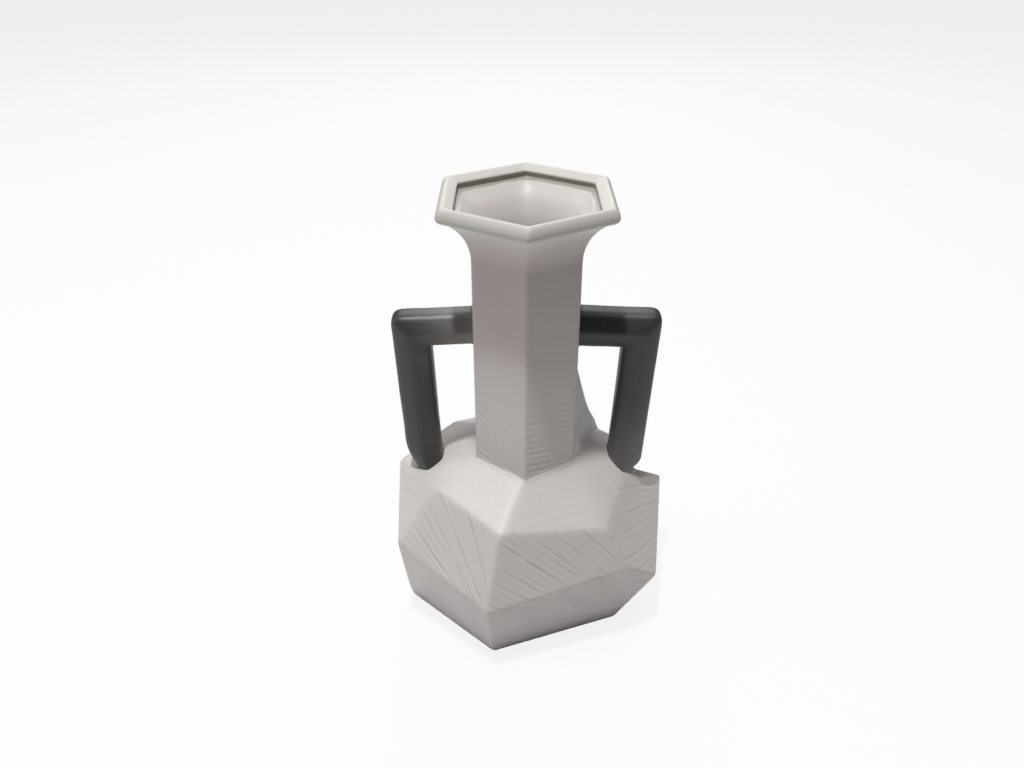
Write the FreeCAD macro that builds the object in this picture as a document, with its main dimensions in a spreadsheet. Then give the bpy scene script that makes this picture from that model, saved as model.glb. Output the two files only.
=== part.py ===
# Faceted ceramic vase with a hexagonal neck and two squared handles.
#
# The whole vase is one slip-cast and fired piece, so it is one solid. Millimetres, +Z up.
# The origin is the middle of the foot, on the axis of the neck. The handles lie along X,
# and a corner of the hexagonal neck points to the front, along -Y.
#
# The belly is a block sliced by flat cuts, the way the plaster model of such a vase is carved:
# each facet is one plane with its own turn, lean and reach, and every edge and corner is where
# those planes meet. The hollow is the same block of planes moved in by the wall.

import FreeCAD, Part
import math
import os

import Sketcher

doc = FreeCAD.newDocument("faceted_vase")
sheet = doc.addObject("Spreadsheet::Sheet", "dims")

# Driving dimensions, each set by itself.
SIZES = {
    "wall": 5.0,                    # fired wall of belly and neck
    "foot_thickness": 6.0,          # floor of the vase
    "waist_height": 50.0,           # height at which the reach of a flank is measured
    "neck_apothem": 26.4,           # axis to the middle of a flat of the neck
    "cove_radius": 26.0,            # hollow curve from the neck out to the lip
    "lip_apothem": 36.4,            # axis to the end of the hollow curve, under the lip
    "lip_height": 9.0,              # end of the hollow curve up to the rim
    "nose_apothem": 38.4,           # axis to the start of the lip's rounded outer face
    "nose_drop": 7.3,               # rim down to the start of that face
    "nose_radius": 8.0,             # rounding of the lip's outer face
    "brow_apothem": 41.4,           # axis to the widest line of the lip
    "brow_drop": 1.7,               # rim down to the widest line
    "crest_apothem": 38.6,          # axis to the inner side of the crest
    "crest_flat": 1.5,              # flat along the crest
    "lip_inner_apothem": 33.4,      # axis to the inner edge of the lip
    "bevel_drop": 2.6,              # fall of the lip from the crest to its inner edge
    "groove_apothem": 34.6,         # axis to the back of the groove under the inner edge
    "groove_drop": 5.6,             # rim down to the back of the groove
    "step_drop": 6.8,               # rim down to the inner edge of the ledge below the groove
    "arm_height": 178.0,            # middle of a handle's arm, at its corner
    "arm_to_rim": 72.0,             # middle of the arm up to the rim
    "handle_depth": 22.4,           # bar of a handle, from ridge to ridge, front to back
    "handle_flat": 11.2,            # width of the flats on top, below, outside and inside
    "handle_sink": 18.0,            # depth of the upright's end below the skin of the shoulder
    "root_height": 120.0,           # height at which the reach of a root facet is measured
    "root_bottom": 95.0,            # lowest level of the neck's root, inside the belly
    "groove_depth": 0.5,            # depth of a carved stroke
    "groove_tool": 1.2,             # side of the square chisel that cuts it, corner down
    "groove_length": 120.0,         # length of a stroke before the facet's edges end it
    "block": 420.0,                 # size of the blocks that the planes are cut from
}

# Handles: axis to the middle of the upright at the corner and at the shoulder, fall of the arm
# from the neck to the corner, thickness of arm and upright, and rounding of the outer corner.
HANDLES = {
    "left": (58.6, 55.3, 2.0, 18.9, 20.4, 6.0),
    "right": (59.6, 55.5, 1.6, 20.8, 19.8, 8.0),
}

# Facets. turn: compass angle of the facet, in degrees, with 0 along +X and -90 to the front.
# lean: how far it faces up from upright, or down if negative. The third value is the height at
# which a shoulder facet would meet the axis, or the distance from the axis to a flank facet at
# the waist, or to a foot facet at the base.
SHOULDERS = {
    "shoulder_front_left": (-107.0, 64.0, 117.0),
    "shoulder_front_right": (-65.5, 55.0, 121.5),
    "shoulder_right_front": (-43.0, 51.5, 129.5),
    "shoulder_right": (3.5, 52.5, 136.5),
    "shoulder_back_right": (48.0, 58.5, 127.0),
    "shoulder_back": (98.5, 64.5, 116.5),
    "shoulder_left": (-177.0, 63.5, 120.5),
}
FLANKS = {
    "flank_front_left": (-124.5, 23.5, 72.0),
    "flank_front_right": (-74.0, 18.5, 65.0),
    "flank_right_front": (-30.5, 29.5, 77.0),
    "flank_right": (-1.5, -8.5, 77.0),
    "flank_back_right": (60.0, 20.5, 59.5),
    "flank_back": (93.0, 15.0, 62.5),
    "flank_back_left": (126.0, 17.5, 62.5),
    "flank_left": (-178.5, -2.0, 71.0),
    "flank_left_front": (-157.5, 31.5, 84.0),
}
FEET = {
    "foot_front_left": (-131.5, -16.0, 54.6),
    "foot_front_right": (-70.0, -17.0, 48.0),
    "foot_right": (8.5, -27.0, 48.5),
    "foot_back_right": (60.0, -20.0, 50.0),
    "foot_back_left": (115.0, -18.0, 49.5),
    "foot_left": (165.0, -12.0, 61.4),
}

# Root of the neck at the back on the right, where it spreads onto the shoulder: two faces, the
# upper one steep, with turn, lean and reach at the root height.
ROOTS = {
    "root_upper": (20.0, 17.0, 37.6),
    "root_lower": (20.0, 31.3, 37.6),
}
ROOT_SIDES = {
    "root_side_front": (-60.0, 0.0, 26.2),
    "root_side_right": (-20.0, 8.0, 29.9),
    "root_side_left": (75.0, 10.0, 29.9),
    "root_side_back": (120.0, 0.0, 26.2),
}

# Chip out of the right shoulder behind the handle: the two planes that it is cut down to, each
# with turn, lean and the height at which it would meet the axis.
CHIPS = {
    "chip_floor": (70.0, 50.5, 104.15),
    "chip_wall": (10.0, 25.0, 216.0),
}

# Strokes carved on the flanks. On each flank they all point at one spot, which lies as far as
# the fan from the flank's middle, in the direction of the heading, so a short fan makes them
# spread like fingers. The pitch is the step between two strokes at the flank's middle. The last
# two values number the first and the last stroke, counted from the middle one.
STROKES = {
    "flank_front_left": (-25.5, 4.0, 46.7, -9, 0),
    "flank_front_right": (-41.0, 5.0, 260.0, -8, 4),
    "flank_right_front": (-12.0, 6.4, 158.0, -8, 1),
    "flank_right": (24.0, 5.5, 200.0, -3, -1),
    "flank_back_right": (-36.0, 5.5, 150.0, -8, 4),
    "flank_back": (28.0, 5.5, 220.0, -7, 2),
    "flank_back_left": (-48.0, 5.5, 160.0, -11, 2),
    "flank_left": (-20.0, 5.5, 180.0, -4, 7),
    "flank_left_front": (38.0, 5.5, 140.0, -9, -2),
}

row = 0


def add_cell(alias, content):
    """Writes one value or formula to the sheet under its own name."""
    global row
    row += 1
    sheet.set("A%d" % row, alias.replace("_", " "))
    sheet.set("B%d" % row, content)
    sheet.setAlias("B%d" % row, alias)


for alias, value in SIZES.items():
    add_cell(alias, str(value))
for handle, values in HANDLES.items():
    for size, value in zip(("reach", "foot_reach", "droop", "arm", "upright", "rounding"), values):
        add_cell("%s_%s" % (handle, size), str(value))
for group, third in ((SHOULDERS, "apex"), (FLANKS, "reach"), (FEET, "reach"), (ROOTS, "reach"),
                     (ROOT_SIDES, "reach"), (CHIPS, "apex")):
    for facet, (turn, lean, distance) in group.items():
        add_cell(facet + "_turn", str(turn))
        add_cell(facet + "_lean", str(lean))
        add_cell(facet + "_" + third, str(distance))

for facet, values in STROKES.items():
    for size, value in zip(("heading", "pitch", "fan", "first", "last"), values):
        add_cell("%s_stroke_%s" % (facet, size), str(value))

# Sizes that follow from the driving ones.
add_cell("rim_top", "=arm_height + arm_to_rim")
add_cell("lip_under", "=rim_top - lip_height")
add_cell("cove_run", "=lip_apothem - neck_apothem")
add_cell("cove_rise", "=sqrt(2 * cove_radius * cove_run - cove_run ^ 2)")
add_cell("cove_height", "=lip_under - cove_rise")
add_cell("step_height", "=rim_top - step_drop")
add_cell("inner_radius", "=cove_radius + wall")
add_cell("step_rise", "=step_height - cove_height")
add_cell("step_apothem", "=neck_apothem + cove_radius - sqrt(inner_radius ^ 2 - step_rise ^ 2)")
add_cell("nose_height", "=rim_top - nose_drop")
add_cell("brow_height", "=rim_top - brow_drop")
add_cell("groove_height", "=rim_top - groove_drop")
add_cell("arm_start", "=neck_apothem - wall / 2")
for handle in HANDLES:
    add_cell(handle + "_mitre", "=sqrt({0}_arm ^ 2 + {0}_upright ^ 2)".format(handle))
    add_cell(handle + "_neck_height", "=arm_height + {0}_droop".format(handle))
    fall = "{0}_foot_reach * abs(cos(shoulder_{0}_turn * 1deg)) / tan(shoulder_{0}_lean * 1deg)".format(handle)
    add_cell(handle + "_end", "=shoulder_{0}_apex - {1} - handle_sink".format(handle, fall))
doc.recompute()


def bind(thing, **expressions):
    """Ties properties to sheet values; a double underscore stands for a dot in the path."""
    for path, expression in expressions.items():
        thing.setExpression(path.replace("__", "."), expression)


# Belly: flat cuts through a block.

def keep_side(name, turn, lean, reach, height, inset):
    """Block whose outer face is one facet, so that what lies behind the facet is kept."""
    block = doc.addObject("Part::Box", name)
    bind(block, Length="dims.block", Width="dims.block", Height="dims.block")
    turned = "placement(vector(0; 0; 0); rotation(vector(0; 0; 1); {0}))".format(turn)
    leaned = "placement(vector({0}; 0; {1}); rotation(vector(0; 1; 0); -({2})))".format(reach, height, lean)
    corner = ("placement(vector(-dims.block - ({0}); -dims.block / 2; -dims.block / 2); "
              "rotation(vector(0; 0; 1); 0))").format(inset)
    bind(block, Placement=" * ".join((turned, leaned, corner)))
    return block


def facet_blocks(prefix, groups, inset):
    """One block for each facet of the named groups, all moved in by the same inset."""
    blocks = []
    for group in groups:
        for facet in group:
            cell = "dims." + facet
            if group is SHOULDERS:
                reach, height = "0", cell + "_apex"
            elif group is FLANKS:
                reach, height = cell + "_reach", "dims.waist_height"
            else:
                reach, height = cell + "_reach", "0"
            blocks.append(keep_side(prefix + facet, cell + "_turn", cell + "_lean", reach, height, inset))
    return blocks


def floor_block(name, height):
    """Block that keeps what lies above a level floor."""
    return keep_side(name, "0", "-90", "0", height, "0")


def common(name, shapes):
    """What all the given shapes share."""
    shared = doc.addObject("Part::MultiCommon", name)
    shared.Shapes = shapes
    return shared


every_facet = (SHOULDERS, FLANKS, FEET)
belly = common("belly", facet_blocks("skin_", every_facet, "0") + [floor_block("skin_floor", "0")])
inner_floor = floor_block("hollow_floor", "dims.foot_thickness")
facet_hollow = common("facet_hollow", facet_blocks("hollow_", every_facet, "dims.wall") + [inner_floor])


def root(name):
    """Wedge between the neck and the shoulder, with one face of its own."""
    blocks = [keep_side(name + "_behind", "dims.%s_turn + 180" % name, "0", "0", "0", "0")]
    for facet in [name] + list(ROOT_SIDES):
        cell = "dims." + facet
        blocks.append(keep_side(name + "_by_" + facet, cell + "_turn", cell + "_lean", cell + "_reach",
                                "dims.root_height", "0"))
    return common(name, blocks + [floor_block(name + "_floor", "dims.root_bottom")])


roots = [root(name) for name in ROOTS]


def less(name, base, tool):
    """The base with the tool cut away."""
    rest = doc.addObject("Part::Cut", name)
    rest.Base = base
    rest.Tool = tool
    return rest


def chip(name, inset):
    """What lies beyond both planes of the chip, which are first moved in by the inset."""
    return common(name, [keep_side(name + "_" + plane, "dims.%s_turn + 180" % plane, "-dims.%s_lean" % plane,
                                   "0", "dims.%s_apex" % plane, "-" + inset) for plane in CHIPS])


chipped_belly = less("chipped_belly", belly, chip("chip", "0"))
belly_hollow = less("belly_hollow", facet_hollow, chip("wall_behind_chip", "dims.wall"))


# Carved strokes: square bars, corner down, fanned over each flank about its own spot.

def strokes(facet):
    """Bars of one flank, from its first stroke to its last."""
    cell = "dims." + facet
    step = "{0}_stroke_pitch / {0}_stroke_fan * 180 / pi".format(cell)
    clear = "1.5 * dims.groove_tool * {0}_stroke_fan / {0}_stroke_pitch".format(cell)
    start = "max({0}_stroke_fan - dims.groove_length / 2; {1})".format(cell, clear)
    first = int(sheet.get(facet + "_stroke_first"))
    last = int(sheet.get(facet + "_stroke_last"))
    bars = []
    for number in range(first, last + 1):
        bar = doc.addObject("Part::Box", "%s_stroke_%d" % (facet, number - first))
        bind(bar, Length="dims.groove_tool", Height="dims.groove_tool", Width="dims.groove_length")
        steps = (
            "placement(vector(0; 0; 0); rotation(vector(0; 0; 1); {0}_turn))",
            "placement(vector({0}_reach; 0; dims.waist_height); rotation(vector(0; 1; 0); -({0}_lean)))",
            "placement(vector(0; 0; 0); rotation(vector(1; 0; 0); {0}_stroke_heading))",
            "placement(vector(0; {0}_stroke_fan; 0); rotation(vector(1; 0; 0); {1} * {2}))",
            "placement(vector(-dims.groove_depth; -({3}) - dims.groove_length; 0); "
            "rotation(vector(0; 1; 0); 45))",
        )
        bind(bar, Placement=" * ".join(steps).format(cell, number, step, start))
        bars.append(bar)
    together = doc.addObject("Part::Compound", facet + "_strokes")
    together.Links = bars
    return together


doc.recompute()
carved_belly = chipped_belly
for facet in STROKES:
    carved_belly = less("carved_to_" + facet, carved_belly, strokes(facet))


# Neck and lip: one outline, drawn from the axis to the middle of a flat, runs along all three
# pairs of flats, and the neck is what the three long bars share.

def outline_sketch(name, points, arcs):
    """Closed outline on the XZ plane, from points as (x, z, x formula, z formula).

    arcs maps the index of a side to (radius formula, centre x, centre z, left turn)."""
    sketch = doc.addObject("Sketcher::SketchObject", name)
    sketch.Placement = FreeCAD.Placement(FreeCAD.Vector(), FreeCAD.Rotation(FreeCAD.Vector(1, 0, 0), 90))
    count = len(points)
    start_of, end_of = {}, {}
    for i in range(count):
        here = FreeCAD.Vector(points[i][0], points[i][1], 0)
        there = FreeCAD.Vector(points[(i + 1) % count][0], points[(i + 1) % count][1], 0)
        start_of[i], end_of[i] = 1, 2
        if i not in arcs:
            sketch.addGeometry(Part.LineSegment(here, there))
            continue
        centre = FreeCAD.Vector(arcs[i][1], arcs[i][2], 0)
        circle = Part.Circle(centre, FreeCAD.Vector(0, 0, 1), (here - centre).Length)
        first = math.atan2(here.y - centre.y, here.x - centre.x)
        last = math.atan2(there.y - centre.y, there.x - centre.x)
        if arcs[i][3]:
            sketch.addGeometry(Part.ArcOfCircle(circle, first, last))
        else:
            sketch.addGeometry(Part.ArcOfCircle(circle, last, first))
            start_of[i], end_of[i] = 2, 1
    for i in range(count):
        after = (i + 1) % count
        sketch.addConstraint(Sketcher.Constraint("Coincident", i, end_of[i], after, start_of[after]))
    for i, (x, z, x_formula, z_formula) in enumerate(points):
        for kind, value, formula in (("DistanceX", x, x_formula), ("DistanceY", z, z_formula)):
            if formula == "0":
                axis = -2 if kind == "DistanceX" else -1
                sketch.addConstraint(Sketcher.Constraint("PointOnObject", i, start_of[i], axis))
                continue
            index = sketch.addConstraint(Sketcher.Constraint(kind, -1, 1, i, start_of[i], value))
            sketch.setExpression("Constraints[%d]" % index, formula)
    for i, (radius_formula, x, z, left) in arcs.items():
        radius = math.hypot(points[i][0] - x, points[i][1] - z)
        index = sketch.addConstraint(Sketcher.Constraint("Radius", i, radius))
        sketch.setExpression("Constraints[%d]" % index, radius_formula)
    return sketch


def hexagonal(name, sketch):
    """Solid with six equal sides that all have the outline's shape."""
    half = doc.addObject("Part::Extrusion", name + "_half_bar")
    half.Base = sketch
    half.DirMode = "Custom"
    half.Dir = FreeCAD.Vector(0, 1, 0)
    half.Symmetric = True
    half.Solid = True
    bind(half, LengthFwd="dims.block")
    other = doc.addObject("Part::Mirroring", name + "_other_half")
    other.Source = half
    other.Normal = FreeCAD.Vector(1, 0, 0)
    bar = doc.addObject("Part::Fuse", name + "_bar")
    bar.Base = half
    bar.Tool = other
    bar.Refine = True
    bars = [bar]
    for angle in (60, 120):
        turned = doc.addObject("Part::Compound", "%s_bar_%d" % (name, angle))
        turned.Links = [bar]
        turned.Placement = FreeCAD.Placement(FreeCAD.Vector(), FreeCAD.Rotation(FreeCAD.Vector(0, 0, 1), angle))
        bars.append(turned)
    return common(name, bars)


neck_apothem = float(sheet.neck_apothem)
cove_radius = float(sheet.cove_radius)
cove_height = float(sheet.cove_height)
lip_apothem = float(sheet.lip_apothem)
lip_under = float(sheet.lip_under)
rim_top = float(sheet.rim_top)
crest = float(sheet.crest_apothem)
crest_flat = float(sheet.crest_flat)
waist = float(sheet.waist_height)
nose_radius = float(sheet.nose_radius)
nose = FreeCAD.Vector(float(sheet.nose_apothem), float(sheet.nose_height), 0)
brow = FreeCAD.Vector(float(sheet.brow_apothem), float(sheet.brow_height), 0)

# The nose of the lip is an arc up to the brow, bulging outwards.
nose_chord = brow - nose
nose_offset = math.sqrt(nose_radius ** 2 - (nose_chord.Length / 2) ** 2)
nose_left = FreeCAD.Vector(-nose_chord.y, nose_chord.x, 0).normalize()
nose_centre = (nose + brow) * 0.5 + nose_left * nose_offset
cove_x = neck_apothem + cove_radius

neck_outline = outline_sketch("neck_outline", [
    (0, waist, "0", "dims.waist_height"),
    (neck_apothem, waist, "dims.neck_apothem", "dims.waist_height"),
    (neck_apothem, cove_height, "dims.neck_apothem", "dims.cove_height"),
    (lip_apothem, lip_under, "dims.lip_apothem", "dims.lip_under"),
    (nose.x, nose.y, "dims.nose_apothem", "dims.nose_height"),
    (brow.x, brow.y, "dims.brow_apothem", "dims.brow_height"),
    (crest + crest_flat, rim_top, "dims.crest_apothem + dims.crest_flat", "dims.rim_top"),
    (0, rim_top, "0", "dims.rim_top"),
], {2: ("dims.cove_radius", cove_x, cove_height, False),
    4: ("dims.nose_radius", nose_centre.x, nose_centre.y, True)})
neck = hexagonal("neck", neck_outline)

inner_apothem = neck_apothem - float(sheet.wall)
step_apothem = float(sheet.step_apothem)
step_height = float(sheet.step_height)
groove_apothem = float(sheet.groove_apothem)
groove_height = float(sheet.groove_height)
lip_inner = float(sheet.lip_inner_apothem)
bevel_drop = float(sheet.bevel_drop)
above_rim = rim_top + bevel_drop
mouth_outline = outline_sketch("mouth_outline", [
    (0, waist, "0", "dims.waist_height"),
    (inner_apothem, waist, "dims.neck_apothem - dims.wall", "dims.waist_height"),
    (inner_apothem, cove_height, "dims.neck_apothem - dims.wall", "dims.cove_height"),
    (step_apothem, step_height, "dims.step_apothem", "dims.step_height"),
    (groove_apothem, groove_height, "dims.groove_apothem", "dims.groove_height"),
    (lip_inner, rim_top - bevel_drop, "dims.lip_inner_apothem", "dims.rim_top - dims.bevel_drop"),
    (crest, rim_top, "dims.crest_apothem", "dims.rim_top"),
    (crest, above_rim, "dims.crest_apothem", "dims.rim_top + dims.bevel_drop"),
    (0, above_rim, "0", "dims.rim_top + dims.bevel_drop"),
], {2: ("dims.inner_radius", cove_x, cove_height, False)})
mouth = hexagonal("mouth", mouth_outline)


# Handles: a six-sided bar that leaves a flat of the neck, turns down at a mitred corner and
# stands on the shoulder. Three sections carry it: at the neck, in the mitre and at its foot.
# Both are drawn on the left, each to its own sizes, and the right one is then mirrored.

SAME_PLACE = 0.01   # closer than this, two places are one


def section_sketch(body, name, plane_role, turn, thickness):
    """Six-sided section: two flats across, ridges at both ends, centred on its own origin."""
    planes = {feature.Role: feature for feature in body.Origin.OriginFeatures}
    sketch = body.newObject("Sketcher::SketchObject", name)
    sketch.AttachmentSupport = [(planes[plane_role], "")]
    sketch.MapMode = "FlatFace"
    sketch.AttachmentOffset = FreeCAD.Placement(FreeCAD.Vector(), turn)
    ridge = float(sheet.handle_depth) / 2
    flat = float(sheet.handle_flat) / 2
    half = float(sheet.get(thickness)) / 2
    corners = ((ridge, 0), (flat, half), (-flat, half), (-ridge, 0), (-flat, -half), (flat, -half))
    for i, corner in enumerate(corners):
        after = corners[(i + 1) % 6]
        sketch.addGeometry(Part.LineSegment(FreeCAD.Vector(*corner, 0), FreeCAD.Vector(*after, 0)))
    for i in range(6):
        sketch.addConstraint(Sketcher.Constraint("Coincident", i, 2, (i + 1) % 6, 1))
    sketch.addConstraint(Sketcher.Constraint("PointOnObject", 0, 1, -1))
    sketch.addConstraint(Sketcher.Constraint("Symmetric", 0, 1, 3, 1, -2))
    sketch.addConstraint(Sketcher.Constraint("Symmetric", 1, 1, 2, 1, -2))
    sketch.addConstraint(Sketcher.Constraint("Symmetric", 1, 1, 5, 1, -1))
    sketch.addConstraint(Sketcher.Constraint("Symmetric", 2, 1, 4, 1, -1))
    for kind, first, second, value, cell in (("DistanceX", 3, 0, 2 * ridge, "handle_depth"),
                                             ("DistanceX", 2, 1, 2 * flat, "handle_flat"),
                                             ("DistanceY", 5, 1, 2 * half, thickness)):
        index = sketch.addConstraint(Sketcher.Constraint(kind, first, 1, second, 1, value))
        sketch.setExpression("Constraints[%d]" % index, "dims." + cell)
    return sketch


def outer_corner_edges(shape, reach, height):
    """Names of the edges that lie in the mitre and above the middle of the bar."""
    names = []
    for number, edge in enumerate(shape.Edges, 1):
        offsets = [(-vertex.X - reach, vertex.Z - height) for vertex in edge.Vertexes]
        in_mitre = all(abs(across - up) < SAME_PLACE for across, up in offsets)
        if in_mitre and sum(up for across, up in offsets) > SAME_PLACE:
            names.append("Edge%d" % number)
    return names


def handle(side):
    """Handle to the sizes of one side, drawn on the left."""
    level = FreeCAD.Rotation()
    mitred = FreeCAD.Rotation(FreeCAD.Vector(1, 0, 0), -45)
    crossed = FreeCAD.Rotation(FreeCAD.Vector(0, 0, 1), 90)
    cell = "dims." + side
    body = doc.addObject("PartDesign::Body", side + "_handle")
    at_neck = section_sketch(body, side + "_at_neck", "YZ_Plane", level, side + "_arm")
    bind(at_neck, AttachmentOffset__Base__z="-dims.arm_start", AttachmentOffset__Base__y=cell + "_neck_height")
    at_corner = section_sketch(body, side + "_at_corner", "YZ_Plane", mitred, side + "_mitre")
    bind(at_corner, AttachmentOffset__Base__z="-%s_reach" % cell, AttachmentOffset__Base__y="dims.arm_height")
    at_foot = section_sketch(body, side + "_at_foot", "XY_Plane", crossed, side + "_upright")
    bind(at_foot, AttachmentOffset__Base__x="-%s_foot_reach" % cell, AttachmentOffset__Base__z=cell + "_end")
    doc.recompute()
    bar = body.newObject("PartDesign::AdditiveLoft", side + "_bar")
    bar.Profile = at_neck
    bar.Sections = [at_corner, at_foot]
    bar.Ruled = True
    doc.recompute()
    rounding = body.newObject("PartDesign::Fillet", side + "_corner")
    reach = float(sheet.get(side + "_reach"))
    rounding.Base = (bar, outer_corner_edges(bar.Shape, reach, float(sheet.arm_height)))
    bind(rounding, Radius=cell + "_rounding")
    body.Tip = rounding
    return body


left_handle = handle("left")
drawn_right = handle("right")
right_handle = doc.addObject("Part::Mirroring", "mirrored_right_handle")
right_handle.Source = drawn_right
right_handle.Normal = FreeCAD.Vector(1, 0, 0)

# One casting: skin less hollow.
skin = doc.addObject("Part::MultiFuse", "skin")
skin.Shapes = [carved_belly, neck, left_handle, right_handle] + roots
hollow = doc.addObject("Part::MultiFuse", "hollow")
hollow.Shapes = [belly_hollow, mouth]
vase = doc.addObject("Part::Cut", "vase")
vase.Label = "vase"
vase.Base = skin
vase.Tool = hollow
vase.Refine = True
doc.recompute()

# Every object must have built, and every solid must be sound, before the vase is written.
for thing in doc.Objects:
    if "Invalid" in thing.State or "Error" in thing.State:
        raise RuntimeError("%s did not build: %s" % (thing.Name, thing.State))
    if hasattr(thing, "Shape") and thing.Shape.Solids and not thing.Shape.isValid():
        raise RuntimeError("%s is not sound" % thing.Name)
for thing in [vase]:
    if thing.Shape.isNull() or not thing.Shape.isValid():
        raise RuntimeError(thing.Label + " has no sound shape")
    if len(thing.Shape.Solids) != 1:
        raise RuntimeError(thing.Label + " is not one solid")

os.makedirs("parts", exist_ok=True)
for thing in [vase]:
    thing.Shape.exportStep(os.path.join("parts", thing.Label + ".step"))
    box = thing.Shape.BoundBox
    print("%s: %.1f x %.1f x %.1f mm, %d faces, %.0f cm3" % (
        thing.Label, box.XLength, box.YLength, box.ZLength, len(thing.Shape.Faces), thing.Shape.Volume / 1000))
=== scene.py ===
# %% [markdown]
# A faceted ceramic vase. The real one is cast in a mould whose model was carved with flat
# strokes, then glazed: the belly is a lump of irregular flat facets, each hatched its own way,
# and the glaze has softened every edge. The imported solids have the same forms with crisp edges.
# A Bevel modifier could round them, but it has one width and knows nothing of carving. So each
# form is worked out again here as a fine surface, with soft edges and strokes in real relief.

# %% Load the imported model
import math

import bpy
import numpy as np
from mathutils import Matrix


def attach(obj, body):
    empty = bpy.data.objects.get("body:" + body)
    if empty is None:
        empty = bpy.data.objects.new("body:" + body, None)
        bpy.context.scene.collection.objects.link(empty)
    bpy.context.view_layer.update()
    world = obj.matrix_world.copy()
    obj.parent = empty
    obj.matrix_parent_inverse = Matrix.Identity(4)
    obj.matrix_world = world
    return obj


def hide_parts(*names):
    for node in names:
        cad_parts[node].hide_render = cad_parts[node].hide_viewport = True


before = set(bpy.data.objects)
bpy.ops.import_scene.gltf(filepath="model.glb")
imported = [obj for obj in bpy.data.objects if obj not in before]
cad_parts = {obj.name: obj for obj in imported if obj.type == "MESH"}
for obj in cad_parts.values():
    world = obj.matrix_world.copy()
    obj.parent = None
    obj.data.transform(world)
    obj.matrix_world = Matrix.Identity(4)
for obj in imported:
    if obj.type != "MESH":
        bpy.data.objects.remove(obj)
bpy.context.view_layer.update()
MM = 0.001
scene = bpy.context.scene


# %% [markdown]
# The camera stands in front and above, and looks down by about 32 degrees. It could be set by
# eye, but then no outline could be trusted, so its place was worked out from the corners of the
# lip, the neck and the foot. The focal length is written in pixels of a picture 1024 wide, and
# turned into millimetres on a 36 mm sensor.

# %% Camera
FOCAL_PIXELS = 830.0
PICTURE_WIDTH = 1024.0
SENSOR = 36.0
CAMERA_PLACE = (-7.01, -375.72, 380.14)
CAMERA_PITCH = 32.19

camera = bpy.data.objects.new("camera", bpy.data.cameras.new("camera"))
scene.collection.objects.link(camera)
camera.data.sensor_width = SENSOR
camera.data.lens = FOCAL_PIXELS * SENSOR / PICTURE_WIDTH
camera.location = [value * MM for value in CAMERA_PLACE]
camera.rotation_euler = (math.radians(90.0 - CAMERA_PITCH), 0.0, 0.0)
camera.data.clip_start = 0.01
camera.data.clip_end = 50.0
scene.camera = camera
scene.view_settings.view_transform = "Standard"
print("camera: %.1f mm lens, %.0f mm above the floor" % (camera.data.lens, CAMERA_PLACE[2]))


# %% [markdown]
# Hand work is never quite regular: strokes bite unevenly, and a cast bar isn't quite straight.
# A Displace modifier with one of Blender's textures could roughen a finished mesh, but it could
# not reach the depth of a single stroke. So noise is a function of a point here. It comes from
# a table of random numbers, blended smoothly between the corners of a cubic lattice. The table
# is seeded, so every run gives the same vase.

# %% Smooth noise
TABLE_SIZE = 32


def smooth_noise(points, cell, seed):
    """Values from -1 to 1 that vary smoothly over a distance of one cell.

    Each point mixes the random numbers at the eight corners of its lattice cube, with weights
    t*t*(3 - 2*t) along each axis."""
    table = np.random.default_rng(seed).uniform(-1.0, 1.0, (TABLE_SIZE,) * 3)
    scaled = points / cell
    base = np.floor(scaled).astype(int)
    part = scaled - base
    part = part * part * (3.0 - 2.0 * part)
    total = np.zeros(points.shape[:-1])
    for corner in range(8):
        step = np.array([corner & 1, corner >> 1 & 1, corner >> 2 & 1])
        weight = np.prod(np.where(step == 1, part, 1.0 - part), axis=-1)
        index = (base + step) % TABLE_SIZE
        total += weight * table[index[..., 0], index[..., 1], index[..., 2]]
    return total


def fade(values, low, high):
    """0 below low, 1 above high, and a smooth step t*t*(3 - 2*t) between them."""
    part = np.clip((values - low) / (high - low), 0.0, 1.0)
    return part * part * (3.0 - 2.0 * part)


print("noise at three points:", smooth_noise(np.arange(9.0).reshape(3, 3), 4.0, 1).round(2))


# %% [markdown]
# The belly has three rings of facets: shoulders that lean in to the neck, flanks around the
# waist, and feet that lean in below. A block could be cut with Bisect, plane by plane. Kept as
# numbers, the same planes can also steer the strokes and the glaze. A facet is a plane with a
# turn (its compass angle), a lean (how far it faces up) and one distance. Its strokes have a
# heading on the facet, a pitch, and a fan: they all point at a spot that far away, so a small
# fan makes them spread like fingers.
#
# Columns: turn, lean, distance, then heading, pitch and fan of the strokes, and their depth.

# %% Facets of the belly
SHOULDERS = [
    (-107.0, 64.0, 117.0, -52.0, 5.0, 160.0, 0.10),
    (-65.5, 55.0, 121.5, -14.0, 5.0, 300.0, 0.10),
    (-43.0, 51.5, 129.5, -20.0, 4.6, 300.0, 0.16),
    (3.5, 52.5, 136.5, -28.0, 4.6, 300.0, 0.12),
    (48.0, 58.5, 127.0, 34.0, 4.6, 250.0, 0.12),
    (98.5, 64.5, 116.5, -24.0, 4.6, 300.0, 0.12),
    (-177.0, 63.5, 120.5, 30.0, 4.6, 250.0, 0.10),
]
FLANKS = [
    (-124.5, 23.5, 72.0, -25.5, 2.6, 46.7, 0.26),
    (-74.0, 18.5, 65.0, -41.0, 3.4, 260.0, 0.28),
    (-30.5, 29.5, 77.0, -12.0, 4.3, 158.0, 0.24),
    (-1.5, -8.5, 77.0, 24.0, 3.8, 200.0, 0.32),
    (60.0, 20.5, 59.5, -36.0, 3.8, 150.0, 0.34),
    (93.0, 15.0, 62.5, 28.0, 3.8, 220.0, 0.34),
    (126.0, 17.5, 62.5, -48.0, 3.8, 160.0, 0.34),
    (-178.5, -2.0, 71.0, -20.0, 3.8, 180.0, 0.32),
    (-157.5, 31.5, 84.0, 38.0, 3.8, 140.0, 0.16),
]
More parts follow.
